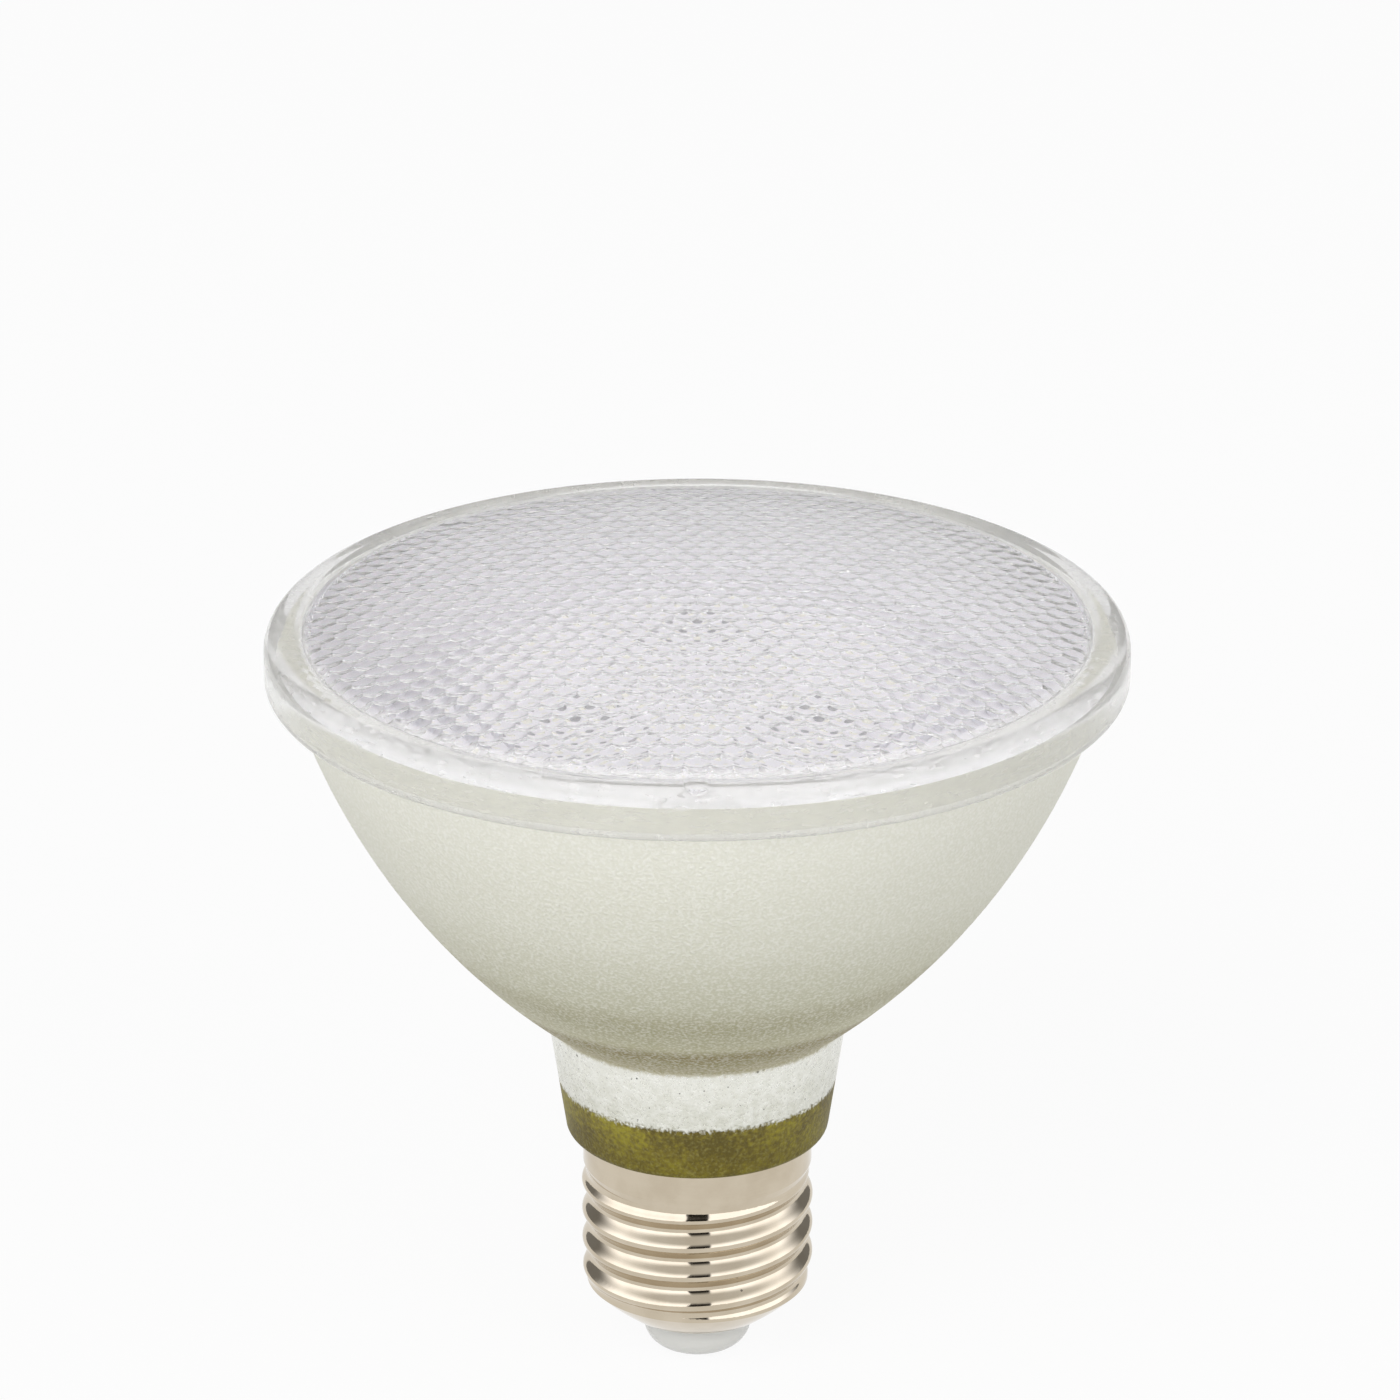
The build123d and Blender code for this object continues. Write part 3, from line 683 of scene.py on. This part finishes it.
glass, strand, shader = new_material("frosted glass")
place = object_mm(strand)
across, along, height = place.split()
facing = strand.add("ShaderNodeTexCoord", out="Normal").split()
outward = (facing[0] * across + facing[1] * along) / from_axis(place)
inside = 1 - outward.rise(FACES_IN, FACES_OUT)
grain = place.noise(2.8, 2)
cloud = place.noise(0.22, 3)
crumple = place.noise(0.9, 4)
ragged = place.noise(1.8, 5) - 0.5
torn = height + ragged * RAGGED_REACH + (grain - 0.5) * SPRINKLE_REACH
silvered = torn.rise(SILVER_FOOT - EDGE_FADE, SILVER_FOOT + EDGE_FADE)
bowl = torn.rise(SHOULDER - EDGE_FADE, SHOULDER + EDGE_FADE)
print("resin from", NECK_FOOT, "silver from", SILVER_FOOT, "bowl from", SHOULDER, "mm")

# %% Sandblasted bowl, with painted shade
SAND_LIGHT = (0.95, 0.945, 0.90)
# share of the climb from shoulder to rim, and the colour there, painted shade and light included
SAND_AND_SHADE_STOPS = [
    (0.02, (0.40, 0.36, 0.20)), (0.08, (0.27, 0.23, 0.085)), (0.115, (0.23, 0.185, 0.05)),
    (0.155, (0.48, 0.46, 0.29)), (0.19, (0.45, 0.43, 0.27)), (0.25, (0.39, 0.37, 0.22)),
    (0.29, (0.42, 0.40, 0.25)), (0.35, (0.54, 0.53, 0.385)), (0.6, (0.70, 0.695, 0.58)),
    (0.95, (0.78, 0.775, 0.68)),
]

bowl_height = RIM_FOOT_Z / MM - SHOULDER
climb = (height - SHOULDER) / bowl_height
# painted shade and light: dark bands just above the shoulder, a lighter band between them as a painted
# highlight, and the bowl lighter towards the rim; the brown near the neck is partly the glass's own tint
shaded_sand = climb.add("ShaderNodeValToRGB", {"stops": SAND_AND_SHADE_STOPS}, {0: climb})
shaded_sand = (grain.rise(0.38, 0.72) * 0.42 + cloud * 0.05).blend(shaded_sand, SAND_LIGHT)
print("bowl is", round(bowl_height, 2), "mm high")

# %% Silvered band
CREASE_FROM, CREASE_FULL = SHOULDER - 1.6, SHOULDER - 0.4
SILVER_LOW, SILVER_HIGH = (0.62, 0.62, 0.54), (0.78, 0.78, 0.71)
SILVER_GLINT = (0.94, 0.94, 0.90)
SPECK = (0.06, 0.06, 0.05)

by_crease = height.rise(CREASE_FROM, CREASE_FULL)
specks = place.dots(1.5, 0.13 + by_crease * 0.14, 0.14)
silver = height.rise(SILVER_FOOT, SHOULDER).blend(SILVER_LOW, SILVER_HIGH)
# painted sparkle: the silver is lightened where the crumple and the grain are high, as glints of crumpled
# foil
silver = ((crumple * 0.7 + grain * 0.3).rise(0.3, 0.7) * 0.5).blend(silver, SILVER_GLINT)
silver = (specks * 0.85).blend(silver, SPECK)
print("silvered band", round(SHOULDER - SILVER_FOOT, 2), "mm high")

# %% Resin band
RESIN_FOOT = (0.105, 0.08, 0.004)
RESIN_GRAIN = (0.30, 0.27, 0.09)
RESIN_STOPS = [(0.40, (0.10, 0.077, 0.014)), (0.49, (0.175, 0.14, 0.02)), (0.60, (0.285, 0.25, 0.022))]

mottle = place.noise(0.16, 2) * 0.5 + place.noise(1.8, 5) * 0.5
resin = mottle.add("ShaderNodeValToRGB", {"stops": RESIN_STOPS}, {0: mottle})
resin = (height.rise(NECK_FOOT, SILVER_FOOT) * 0.6 + 0.4).blend(RESIN_FOOT, resin)
resin = (grain.rise(0.45, 0.8) * 0.45).blend(resin, RESIN_GRAIN)
print("resin band", round(SILVER_FOOT - NECK_FOOT, 2), "mm high")

# %% Frosted and silvered glass
INSIDE_WHITE = (0.81, 0.80, 0.82)
INSIDE_ROUGHNESS = 0.6

outer = bowl.blend(silvered.blend(resin, silver), shaded_sand)
feed(shader, Base_Color=inside.blend(outer, INSIDE_WHITE))
on_outside = 1 - inside
shiny = silvered * (1 - bowl)
feed(shader, Metallic=on_outside * shiny * 0.6)
frost = 0.5 - shiny * 0.2 + (grain - 0.5) * 0.2
feed(shader, Roughness=inside * INSIDE_ROUGHNESS + on_outside * frost)
feed(shader, Specular_IOR_Level=0.2)
feed(shader, Normal=bumped((grain + crumple * shiny) * on_outside, 0.14))
nodes["reflector_body"].material_slots[0].material = glass
print("glass material:", glass.name)

# %% [markdown]
# ## The screw cap
#
# The shell is rolled from thin sheet and plated with nickel, which is a little yellower than steel. It
# is bright but not a mirror: rolling leaves fine lines round it, and handling leaves patches.

# %% Nickel plate
PIT = (0.10, 0.085, 0.07)


def plated(name, bright, dull, polish):
    """Plated metal with fine lines round the axis and patches of handling."""
    metal, strand, shader = new_material(name)
    place = object_mm(strand)
    patches = place.noise(0.25, 4)
    lines = place.noise(1.0, 2, (0.25, 0.25, 9.0))
    pits = place.dots(0.45, 0.07, 0.25)
    sheet = (patches.rise(0.3, 0.7) * 0.7 + lines * 0.3).blend(bright, dull)
    feed(shader, Base_Color=(pits * 0.8).blend(sheet, PIT), Metallic=1.0)
    feed(shader, Roughness=polish + patches * 0.06 + (lines - 0.5) * 0.04)
    feed(shader, Normal=bumped(lines, 0.01, 0.25))
    return metal


nickel = plated("nickel plate", (0.62, 0.545, 0.43), (0.53, 0.455, 0.345), 0.04)
nodes["screw_shell"].material_slots[0].material = nickel
print("cap material:", nickel.name)

# %% [markdown]
# ## The other finishes
#
# The nose of the cap, the board and the parts of the driver are moulded, cast or coated. Such surfaces are
# never quite even: the colour is a little mottled, and so is the gloss. One function makes them all, from a
# light and a deep colour. The metal parts that are left are plated as the cap is. A list of names and
# colours then dresses every part.

# %% Moulded and coated parts


def moulded(name, light, deep, roughness, per_mm=0.8):
    """A moulded, cast or coated surface: a mottled colour, an uneven gloss and a fine texture."""
    made, strand, shader = new_material(name)
    place = object_mm(strand)
    mottle = place.noise(per_mm, 4)
    texture = place.noise(per_mm * 5, 2)
    feed(shader, Base_Color=mottle.blend(deep, light))
    feed(shader, Roughness=roughness + (mottle - 0.5) * 0.16)
    feed(shader, Normal=bumped(texture, 0.01, 0.6))
    return made


white_wire = moulded("white wire", (0.82, 0.82, 0.80), (0.74, 0.74, 0.72), 0.4, 1.0)
print("first finish:", white_wire.name)

# %% A finish for each part that is left
dressed = {
    "cap_insulator": moulded("white cap glass", (0.765, 0.765, 0.735), (0.725, 0.725, 0.695), 0.24, 0.2),
    "centre_contact": plated("contact metal", (0.78, 0.70, 0.52), (0.62, 0.54, 0.38), 0.2),
    "cap_cement": moulded("olive resin", (0.27, 0.235, 0.05), (0.13, 0.10, 0.03), 0.35, 0.5),
    "led_board": moulded("white board lacquer", (0.86, 0.85, 0.88), (0.82, 0.81, 0.84), 0.4, 0.5),
    "led_chips": moulded("emitter phosphor", (0.86, 0.85, 0.77), (0.82, 0.805, 0.70), 0.45, 1.0),
    "heat_spreader": plated("spreader aluminium", (0.93, 0.93, 0.95), (0.89, 0.89, 0.92), 0.65),
    "board_screws": plated("screw steel", (0.60, 0.60, 0.60), (0.45, 0.45, 0.46), 0.2),
    "driver_housing": moulded("white housing plastic", (0.80, 0.80, 0.78), (0.72, 0.72, 0.70), 0.45),
    "driver_board": moulded("board laminate", (0.10, 0.28, 0.12), (0.06, 0.20, 0.08), 0.4, 1.6),
    "bulk_capacitor": moulded("capacitor sleeve", (0.03, 0.03, 0.035), (0.015, 0.015, 0.02), 0.3),
    "film_capacitor": moulded("film capacitor box", (0.50, 0.38, 0.04), (0.42, 0.30, 0.03), 0.4),
    "choke_core": moulded("ferrite", (0.06, 0.06, 0.065), (0.03, 0.03, 0.035), 0.6, 1.5),
    "choke_winding": moulded("winding tape", (0.62, 0.50, 0.08), (0.52, 0.40, 0.05), 0.35, 0.7),
    "bridge_rectifier": moulded("black epoxy", (0.03, 0.03, 0.03), (0.015, 0.015, 0.015), 0.55, 2.0),
    "driver_chip": moulded("chip epoxy", (0.035, 0.035, 0.04), (0.02, 0.02, 0.022), 0.5, 2.0),
    "fuse_resistor": moulded("resistor coat", (0.30, 0.42, 0.34), (0.22, 0.33, 0.26), 0.45, 1.2),
    "surge_varistor": moulded("varistor coat", (0.05, 0.16, 0.42), (0.03, 0.10, 0.30), 0.4, 1.0),
    "live_wire": moulded("brown wire", (0.18, 0.08, 0.03), (0.13, 0.055, 0.02), 0.4, 1.0),
    "neutral_wire": moulded("blue wire", (0.04, 0.14, 0.45), (0.03, 0.10, 0.34), 0.4, 1.0),
    "led_wire_positive": white_wire,
    "led_wire_negative": white_wire,
}
for name, finish in dressed.items():
    nodes[name].material_slots[0].material = finish
print("parts dressed:", len(dressed))

# %% [markdown]
# ## The dab in the wire hole
#
# The two leads of the light source come up through a hole in the board. White sealant closes it round the
# leads, so no dark hole shows through the lens. Its section is half a plug with a domed top, spun round.

# %% White sealant dab
HOLE_RADIUS = 4.2 * MM
SPREADER_SHEET = 1.2 * MM
DAB_CROWN = 0.6 * MM
DAB_SHOULDER = 1.5 * MM
DAB_FOOT = 0.4 * MM
DAB_STEPS = 72
board_low, board_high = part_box("led_board")

dab = bmesh.new()
dab_low = board_low[2] - SPREADER_SHEET
half = run_on(dab, dab.verts.new((0, 0, board_high[2] + DAB_CROWN)), [
    (HOLE_RADIUS - HAIR, board_high[2]),
    (HOLE_RADIUS - HAIR, dab_low),
    (0, dab_low),
])
round_corner(dab, half[1], DAB_SHOULDER, segments=6)
round_corner(dab, half[2], DAB_FOOT, segments=4)
spin_round(dab, half[0], DAB_STEPS)
bmesh.ops.remove_doubles(dab, verts=dab.verts[:], dist=MERGE)
wire_seal = finish_piece(dab, "wire_seal", [])
sealant = moulded("white sealant", (0.88, 0.87, 0.89), (0.83, 0.82, 0.84), 0.4, 0.6)
wire_seal.data.materials.append(sealant)

# %% [markdown]
# ## Colours as written
#
# The Standard view shows a colour as it is written.

# %% View
scene.view_settings.view_transform = "Standard"
